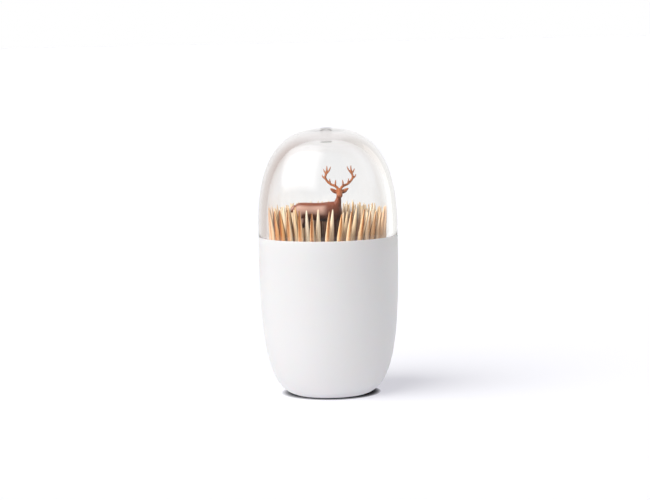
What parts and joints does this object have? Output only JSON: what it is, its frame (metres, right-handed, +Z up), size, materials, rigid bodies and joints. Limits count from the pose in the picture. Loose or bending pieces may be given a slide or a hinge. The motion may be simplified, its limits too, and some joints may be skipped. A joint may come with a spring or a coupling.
{
  "type": "toothpick holder",
  "caption": "Egg-shaped toothpick holder: a white cup of toothpicks under a clear lift-off dome, with a brown stag on a post standing among their points.",
  "frame": {"origin": "centre of the foot, on the table", "axes": "+Z up along the axis of cup and lid; the stag's flank and face look to -Y, its tail points to -X"},
  "size_m": [0.053, 0.053, 0.1012],
  "materials": {
    "white_plastic": "fine satin",
    "clear_plastic": "clear, polished",
    "brown_plastic": "satin",
    "pick_wood": "raw, sanded"
  },
  "bodies": {
    "holder": {"cup": "white_plastic", "stag_stand": "brown_plastic", "stag": "brown_plastic", "toothpicks_outer_row": "pick_wood", "toothpicks_second_row": "pick_wood", "toothpicks_third_row": "pick_wood", "toothpicks_inner_row": "pick_wood"},
    "lid": {"dome_lid": "clear_plastic"}
  },
  "joints": [
    {"name": "lid_lift", "type": "slide", "parent": "holder", "child": "lid", "axis": [0, 0, 1], "range_m": [0, 0.04]}
  ]
}
